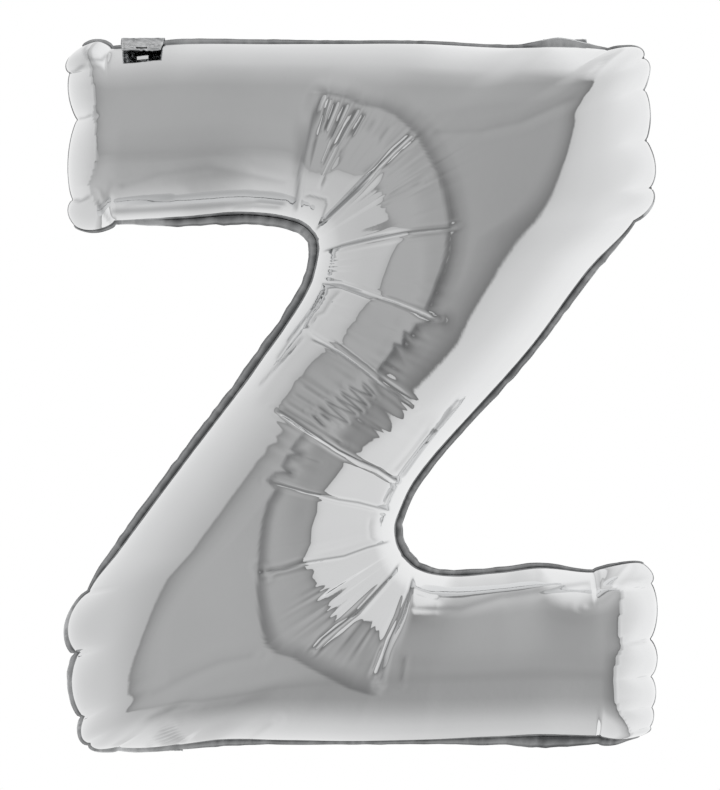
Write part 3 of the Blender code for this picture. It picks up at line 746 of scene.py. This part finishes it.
# How far right and how far left the dark room reaches, and how soft its borders are, in units of 100 degrees
RIGHT_BORDER_BY_UP = (
    (-180, 0.30), (-35, 0.30), (-20, 0.255), (-8, 0.235), (3, 0.25), (9, 0.29), (15, 0.32), (25, 0.33), (38, 0.30),
    (48, 0.25), (58, 0.19), (65, 0.15), (75, 0.10), (90, 0.05), (180, 0.04),
)
LEFT_BORDER_BY_UP = (
    (-180, 0.03), (-42, 0.03), (-32, 0.10), (-24, 0.32), (-17, 0.52), (-12, 0.53), (-8, 0.48), (-4, 0.42),
    (0, 0.37), (5, 0.345), (15, 0.335), (30, 0.29), (50, 0.26), (90, 0.26), (180, 0.30),
)
RIGHT_SOFTNESS_BY_UP = ((-180, 0.016), (46, 0.016), (56, 0.06), (65, 0.09), (80, 0.11), (180, 0.13))
LEFT_SOFTNESS_BY_UP = ((-180, 0.13), (-32, 0.13), (-24, 0.07), (-17, 0.02), (180, 0.016))
BORDER_UNIT = 100.0


def studio_light(tree):
    """The light that the foil reflects, as a colour by direction."""
    direction = tree.nodes.new("ShaderNodeTexCoord").outputs["Generated"]
    parts = tree.nodes.new("ShaderNodeSeparateXYZ")
    tree.links.new(direction, parts.inputs[0])
    x, y, z = parts.outputs
    away = math_node(tree, "MULTIPLY", math_node(tree, "ARCCOSINE", math_node(tree, "MULTIPLY", y, -1.0)), DEGREE)
    square_x = math_node(tree, "MULTIPLY", x, x)
    square_z = math_node(tree, "MULTIPLY", z, z)
    aside = math_node(tree, "SQRT", math_node(tree, "ADD", square_x, square_z))
    scale = math_node(tree, "DIVIDE", away, math_node(tree, "MAXIMUM", aside, 0.001))
    sideways = math_node(tree, "MULTIPLY", x, scale)
    upwards = math_node(tree, "MULTIPLY", z, scale)

    def past_border(value, border, softness):
        reach = math_node(tree, "MULTIPLY", ramp_node(tree, upwards, -180, 180, border), BORDER_UNIT)
        soft = math_node(tree, "MULTIPLY", ramp_node(tree, upwards, -180, 180, softness), BORDER_UNIT)
        node = tree.nodes.new("ShaderNodeMapRange")
        node.interpolation_type = "SMOOTHSTEP"
        tree.links.new(math_node(tree, "MULTIPLY", soft, -1.0), node.inputs["From Min"])
        tree.links.new(soft, node.inputs["From Max"])
        past = math_node(tree, "SUBTRACT", value, reach)
        tree.links.new(past, node.inputs["Value"])
        # A soft border has no dark line beside it
        shade = ramp_node(tree, past, -30, 10, BORDER_SHADE)
        crisp = ramp_node(tree, soft, 0, 20, ((0, 1), (2, 1), (7, 0.25), (20, 0)))
        return node.outputs["Result"], mix_node(tree, "MIX", crisp, (1, 1, 1, 1), shade)

    by_up = ramp_node(tree, upwards, -180, 180, ROOM_BY_UP)
    room = mix_node(tree, "MULTIPLY", 1.0, by_up, ramp_node(tree, sideways, -180, 180, ROOM_BY_SIDE))
    right_wall = ramp_node(tree, away, 0, 180, RIGHT_WALL_BY_AWAY)
    left_wall = ramp_node(tree, away, 0, 180, LEFT_WALL_BY_AWAY)
    past_right, right_shade = past_border(sideways, RIGHT_BORDER_BY_UP, RIGHT_SOFTNESS_BY_UP)
    leftwards = math_node(tree, "MULTIPLY", sideways, -1.0)
    past_left, left_shade = past_border(leftwards, LEFT_BORDER_BY_UP, LEFT_SOFTNESS_BY_UP)
    room = mix_node(tree, "MULTIPLY", 1.0, room, right_shade)
    room = mix_node(tree, "MULTIPLY", 1.0, room, left_shade)
    colour = mix_node(tree, "MIX", past_right, room, right_wall)
    return mix_node(tree, "MIX", past_left, colour, left_wall)


def studio():
    """A light tent round the camera's darker side, floor, and camera."""
    world = bpy.data.worlds.new("studio")
    bpy.context.scene.world = world
    world.use_nodes = True
    tree = world.node_tree
    tree.nodes.clear()
    colour = studio_light(tree)
    seen = tree.nodes.new("ShaderNodeLightPath").outputs["Is Camera Ray"]
    lit = tree.nodes.new("ShaderNodeBackground")
    tree.links.new(colour, lit.inputs["Color"])
    backdrop = tree.nodes.new("ShaderNodeBackground")
    backdrop.inputs["Color"].default_value = (1, 1, 1, 1)
    mix = tree.nodes.new("ShaderNodeMixShader")
    tree.links.new(seen, mix.inputs[0])
    tree.links.new(lit.outputs[0], mix.inputs[1])
    tree.links.new(backdrop.outputs[0], mix.inputs[2])
    out = tree.nodes.new("ShaderNodeOutputWorld")
    tree.links.new(mix.outputs[0], out.inputs["Surface"])

    bpy.ops.object.select_all(action="DESELECT")
    bpy.ops.mesh.primitive_circle_add(vertices=96, radius=3.0, fill_type="NGON", location=(0, 0, -1.0))
    floor = bpy.context.object
    floor.name = "studio_floor"
    paint = bpy.data.materials.new("floor_paint")
    paint.use_nodes = True
    paint.node_tree.nodes["Principled BSDF"].inputs["Base Color"].default_value = (0.85, 0.85, 0.85, 1)
    paint.node_tree.nodes["Principled BSDF"].inputs["Roughness"].default_value = 0.8
    floor.data.materials.append(paint)
    floor.visible_glossy = False

    # The photograph's frame is 0.9516 m high at the balloon's middle plane
    view_height = 0.9516
    distance = 6.0
    data = bpy.data.cameras.new("photo_camera")
    camera = bpy.data.objects.new("photo_camera", data)
    bpy.context.collection.objects.link(camera)
    camera.location = (-0.0018, -distance, 0)
    camera.rotation_euler = (math.radians(90), 0, 0)
    data.lens = data.sensor_width * distance / view_height
    data.clip_end = 100
    bpy.context.scene.camera = camera
    bpy.context.scene.view_settings.view_transform = "Standard"


def outline_of(film):
    """The sheet's edge all round, and how far the weld stands out past it there."""
    grid = film.place
    sides = (
        (grid[:, -1], along_ribs(7) * MM),
        (grid[-1, ::-1][1:-1], np.full(ACROSS - 1, 0.0010)),
        (grid[::-1, 0], along_ribs(8)[::-1] * MM),
        (grid[0][1:-1], np.full(ACROSS - 1, 0.0010)),
    )
    return np.vstack([side[0] for side in sides]), np.concatenate([side[1] for side in sides])


# The weld reaches this far in between the sheets, and has vertices at these shares of its width
WELD_INSIDE = 0.0015
WELD_SECTION = (0.0, 0.25, 0.5, 0.75, 1.0)
# Painted shade across the weld: how much of it falls at each of these shares
WELD_PAINTED_SHADE_ACROSS = (0.5, 1.25, 0.75, 0.4, 1.25)  # how much of the darkness there is at each of them
WELD_CURL = 0.55  # how steeply a light stretch of the weld curls back
WELD_MOST_CURL = 0.0024
# Painted shade on the weld along the outline, standing in for the shade and dark reflections there, clockwise from the
# top left: photo x, y, darkness
WELD_PAINTED_SHADES = (
    (109, 49, 0.5), (118, 40, 0.85), (130, 37, 0.8), (145, 36, 0.85), (163, 37, 0.8), (185, 40, 0.35),
    (250, 40, 0.55), (300, 40, 0.8), (420, 40, 0.8), (460, 40, 0.55), (495, 40, 0.65), (505, 42, 0.95),
    (520, 45, 0.95), (530, 42, 0.75), (545, 40, 0.25), (575, 39, 0.15), (600, 44, 0.35), (608, 50, 0.95),
    (616, 42, 0.9), (628, 43, 0.6), (640, 46, 0.2), (641, 60, 0.7), (649, 75, 0.15), (642, 90, 0.7),
    (650, 110, 0.1), (643, 141, 0.8), (653, 175, 0.1), (650, 188, 0.5), (650, 212, 0.2), (634, 222, 0.85),
    (620, 247, 0.6), (600, 273, 0.75), (580, 291, 0.9), (560, 319, 0.7), (530, 356, 0.9), (490, 401, 0.85),
    (450, 448, 0.9), (418, 490, 0.8), (402, 528, 0.75), (425, 563, 0.7), (460, 570, 0.75), (500, 567, 0.6),
    (550, 562, 0.7), (583, 565, 0.9), (593, 573, 0.95), (610, 564, 0.9), (632, 562, 0.9), (638, 562, 0.6),
    (650, 565, 0.15), (650, 583, 0.6), (658, 613, 0.1), (649, 639, 0.6), (657, 660, 0.1), (652, 676, 0.5),
    (655, 692, 0.1), (651, 707, 0.7), (655, 718, 0.3), (650, 728, 0.7), (634, 736, 0.3), (600, 744, 0.8),
    (560, 747, 0.95), (520, 744, 0.7), (400, 744, 0.75), (300, 744, 0.7), (240, 744, 0.75), (205, 745, 0.5),
    (180, 751, 0.3), (155, 754, 0.35), (125, 754, 0.2), (100, 753, 0.15), (90, 744, 0.8), (80, 724, 0.2),
    (82, 714, 0.7), (70, 702, 0.35), (65, 680, 0.2), (70, 656, 0.4), (79, 652, 0.8), (67, 637, 0.25),
    (62, 618, 0.15), (70, 598, 0.35), (88, 592, 0.85), (96, 565, 0.7), (147, 500, 0.75), (182, 450, 0.85),
    (220, 400, 0.8), (263, 345, 0.95), (300, 292, 0.85), (309, 260, 0.75), (300, 239, 0.6), (270, 228, 0.75),
    (226, 226, 0.8), (175, 226, 0.65), (155, 227, 0.2), (120, 224, 0.25), (114, 220, 0.7), (85, 231, 0.6),
    (66, 215, 0.3), (74, 200, 0.7), (66, 180, 0.15), (78, 120, 0.8), (68, 90, 0.3), (71, 73, 0.7), (67, 62, 0.3),
    (84, 48, 0.6), (98, 42, 0.3),
)


def weld_object(film):
    """The two films welded flat all round the outline, finely crinkled, more so towards their free edge."""
    edge, width = outline_of(film)
    turned = np.roll(edge, -1, axis=0) - np.roll(edge, 1, axis=0)
    outward = unit(np.stack([-turned[:, 1], turned[:, 0]], axis=1))
    for _ in range(6):
        outward = unit(np.roll(outward, 1, axis=0) + outward * 2 + np.roll(outward, -1, axis=0))
    lengths = np.linalg.norm(np.roll(edge, -1, axis=0) - edge, axis=1)
    walked = np.concatenate([[0], np.cumsum(lengths)[:-1]])
    chance = np.random.default_rng(SEED)
    total = walked[-1] + lengths[-1]
    waves = []
    for step in (0.004, 0.009, 0.03):
        knots = np.arange(0, total + step, step)
        waves.append(np.interp(walked, knots, chance.normal(size=len(knots))))
    crinkle = 0.00022 * waves[0] + 0.0004 * waves[1] + 0.0005 * waves[2]
    ragged = 1 + 0.05 * waves[1]
    spots = from_photo([row[:2] for row in WELD_PAINTED_SHADES])
    nearest = [int(np.argmin(np.linalg.norm(edge - spot, axis=1))) for spot in spots]
    order = np.argsort(nearest, kind="stable")
    shades = np.array([row[2] for row in WELD_PAINTED_SHADES])[order]
    along = np.interp(np.arange(len(edge)), np.array(nearest)[order], shades, period=len(edge))
    # Where little shade is painted on the weld its free edge curls back, and so it mirrors the white walls
    curl = np.minimum(WELD_CURL * width, WELD_MOST_CURL) * smooth(0.5 - along, 0.0, 0.3)
    columns = []
    for sign in (-1, 1):
        shares = WELD_SECTION if sign < 0 else WELD_SECTION[::-1]
        for share in shares:
            reach = -WELD_INSIDE + (WELD_INSIDE + width * ragged) * share
            spot = edge + outward * reach[:, None]
            depth = crinkle * share**0.7 + curl * share + sign * FILM / 2
            columns.append(np.stack([spot[:, 0], depth, spot[:, 1]], axis=1))
    points = np.stack(columns, axis=1)
    count, around = points.shape[:2]
    numbers = np.arange(count * around).reshape(count, around)
    after = np.roll(numbers, -1, axis=0)
    faces = np.stack(
        [numbers, after, np.roll(after, -1, axis=1), np.roll(numbers, -1, axis=1)], axis=-1
    ).reshape(-1, 4)
    made = mesh_object("weld_seam", points.reshape(-1, 3), faces)
    # Painted shade on the weld, by place along the outline and across it, a little uneven
    lines = np.clip(along + 0.10 * waves[0] + 0.06 * waves[1], 0, 1)
    shade = np.clip(lines[:, None] * np.array(WELD_PAINTED_SHADE_ACROSS + WELD_PAINTED_SHADE_ACROSS[::-1])[None, :], 0, 1)
    attribute = made.data.attributes.new("painted_shade", "FLOAT", "POINT")
    attribute.data.foreach_set("value", shade.ravel().astype(np.float32))
    return made


# What is folded over from the weld. Columns: name, middle x, width at the weld and at the tip (m), side (-1 front,
# 1 back), path from the weld to the tip as y (away from the middle), z (mm)
FLAPS = (
    ("hang_tab_left", -0.263, 0.054, 0.046, -1, (
        (0, 422), (0, 428), (2, 430), (6, 428.6), (12, 425.4), (24, 421.6), (34, 418.4), (42, 416.4), (50, 413.8),
        (55, 411.4))),
    ("hang_tab_right", 0.245, 0.054, 0.046, 1, (
        (2.6, 423), (2.8, 426), (4, 428), (7, 428.8), (12, 427.2), (24, 423), (34, 419.8), (42, 417.2), (50, 414.2),
        (55, 411.4))),
    ("fill_neck", -0.231, 0.032, 0.029, 1, (
        (2.6, -421), (2.8, -426), (4, -428.5), (8, -429), (20, -425), (33, -418.5), (45, -411.5), (58.5, -401),
        (67.5, -393.5))),
)
FLAP_ACROSS = 28
FLAP_STEPS = 6  # faces from one point of the path to the next
SLOT = ((0.0422, 0.0492), (-0.007, 0.007))  # the tabs' slots: y, and x from the middle


def flap_object(name, middle, root, tip, side, path):
    """A tongue of two welded films, crinkled, with its slot when it is a tab."""
    path = np.array(path, float) * MM
    steps = np.arange(0, len(path) - 1 + 1e-6, 1 / FLAP_STEPS)
    y = np.interp(steps, np.arange(len(path)), path[:, 0])
    z = np.interp(steps, np.arange(len(path)), path[:, 1])
    kernel = np.ones(5) / 5
    y[2:-2] = np.convolve(y, kernel, mode="valid")
    z[2:-2] = np.convolve(z, kernel, mode="valid")
    share = (steps / steps[-1])[:, None]
    width = root * (1 - share) + tip * share
    place = np.linspace(-0.5, 0.5, FLAP_ACROSS + 1)[None, :]
    chance = np.random.default_rng(SEED + len(name))
    wave = chance.normal(size=(len(steps) // 3 + 2, FLAP_ACROSS // 2 + 2))
    rows = np.interp(np.arange(len(steps)) / 3, np.arange(len(wave)), np.arange(len(wave)))
    low = rows.astype(int)
    part = (rows - low)[:, None]
    fine = wave[low] * (1 - part) + wave[np.minimum(low + 1, len(wave) - 1)] * part
    spots = np.arange(FLAP_ACROSS + 1) / 2
    crinkle = np.array([np.interp(spots, np.arange(fine.shape[1]), line) for line in fine])
    lift = 0.00035 * crinkle * smooth(share, 0.1, 0.4)
    x = middle + width * place
    depth = (y[:, None] + lift * 0.5) * side
    height = z[:, None] + lift
    points = np.stack([x, depth, height], axis=-1)
    numbers = np.arange(points.shape[0] * points.shape[1]).reshape(points.shape[:2])
    corners = [numbers[:-1, :-1], numbers[:-1, 1:], numbers[1:, 1:], numbers[1:, :-1]]
    kept = np.ones(corners[0].shape, bool)
    if name.startswith("hang_tab"):
        mid_y = (y[:-1] + y[1:])[:, None] / 2
        mid_x = (width * place)[:-1]
        mid_x = (mid_x[:, :-1] + mid_x[:, 1:]) / 2
        (low_y, high_y), (low_x, high_x) = SLOT
        kept &= ~((mid_y > low_y) & (mid_y < high_y) & (mid_x > low_x) & (mid_x < high_x))
    faces = np.stack(corners, axis=-1)[kept]
    made = mesh_object(name + "_film", points.reshape(-1, 3), faces)
    attribute = made.data.attributes.new("painted_shade", "FLOAT", "POINT")
    # Painted shade over the whole tongue, a little uneven with its crinkles
    shade = np.clip(0.62 + 0.16 * crinkle, 0, 1)
    attribute.data.foreach_set("value", shade.astype(np.float32).ravel())
    bpy.ops.object.select_all(action="DESELECT")
    made.select_set(True)
    bpy.context.view_layer.objects.active = made
    walls = made.modifiers.new("two films", "SOLIDIFY")
    walls.thickness = FILM
    walls.offset = 0.0
    bpy.ops.object.modifier_apply(modifier=walls.name)
    return made


def mesh_object(name, points, faces):
    mesh = bpy.data.meshes.new(name)
    mesh.from_pydata([tuple(point) for point in points], [], [tuple(face) for face in faces])
    mesh.update()
    mesh.shade_smooth()
    made = bpy.data.objects.new(name, mesh)
    bpy.context.collection.objects.link(made)
    return made


def film_normals(tree_object):
    bpy.ops.object.select_all(action="DESELECT")
    tree_object.select_set(True)
    bpy.context.view_layer.objects.active = tree_object
    bpy.ops.object.mode_set(mode="EDIT")
    bpy.ops.mesh.select_all(action="SELECT")
    bpy.ops.mesh.normals_make_consistent(inside=False)
    bpy.ops.object.mode_set(mode="OBJECT")


def main():
    group = film_group()
    # Each film's second colour is the painted shade, also used for random cloudy dullness
    foil = film_material("silver_foil", group, (0.87, 0.875, 0.88, 1), (0.20, 0.205, 0.21, 1), 0.04, (60.0, 0.06))
    weld_foil = film_material("weld_foil", group, (0.84, 0.85, 0.86, 1), (0.17, 0.175, 0.18, 1), 0.12, (90.0, 0.5))
    film = Film()
    height = film.crown()
    height = film.raise_band(height)
    height = film.press_creases(height)
    height = film.ripple(height)
    film.shade_rims()
    height = np.maximum(film.puff_lobes(height), 0)
    height[0, :] = height[-1, :] = height[:, 0] = height[:, -1] = 0
    for name, side, step in (("front_sheet", -1, 1), ("back_sheet", 1, BACK_STEP)):
        place, depth = film.place[::step, ::step], (RIM_HEIGHT + height[::step, ::step]) * side
        made = grid_object(name + "_foil", place, depth, film.painted_shade[::step, ::step])
        if side > 0:
            made.data.flip_normals()
        made.data.materials.append(foil)
        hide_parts(name)
        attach(made, "root")
    pieces = [(weld_object(film), "weld_band")]
    pieces += [(flap_object(*row), row[0]) for row in FLAPS]
    for made, name in pieces:
        film_normals(made)
        made.data.materials.append(weld_foil)
        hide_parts(name)
        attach(made, "root")
    studio()


main()
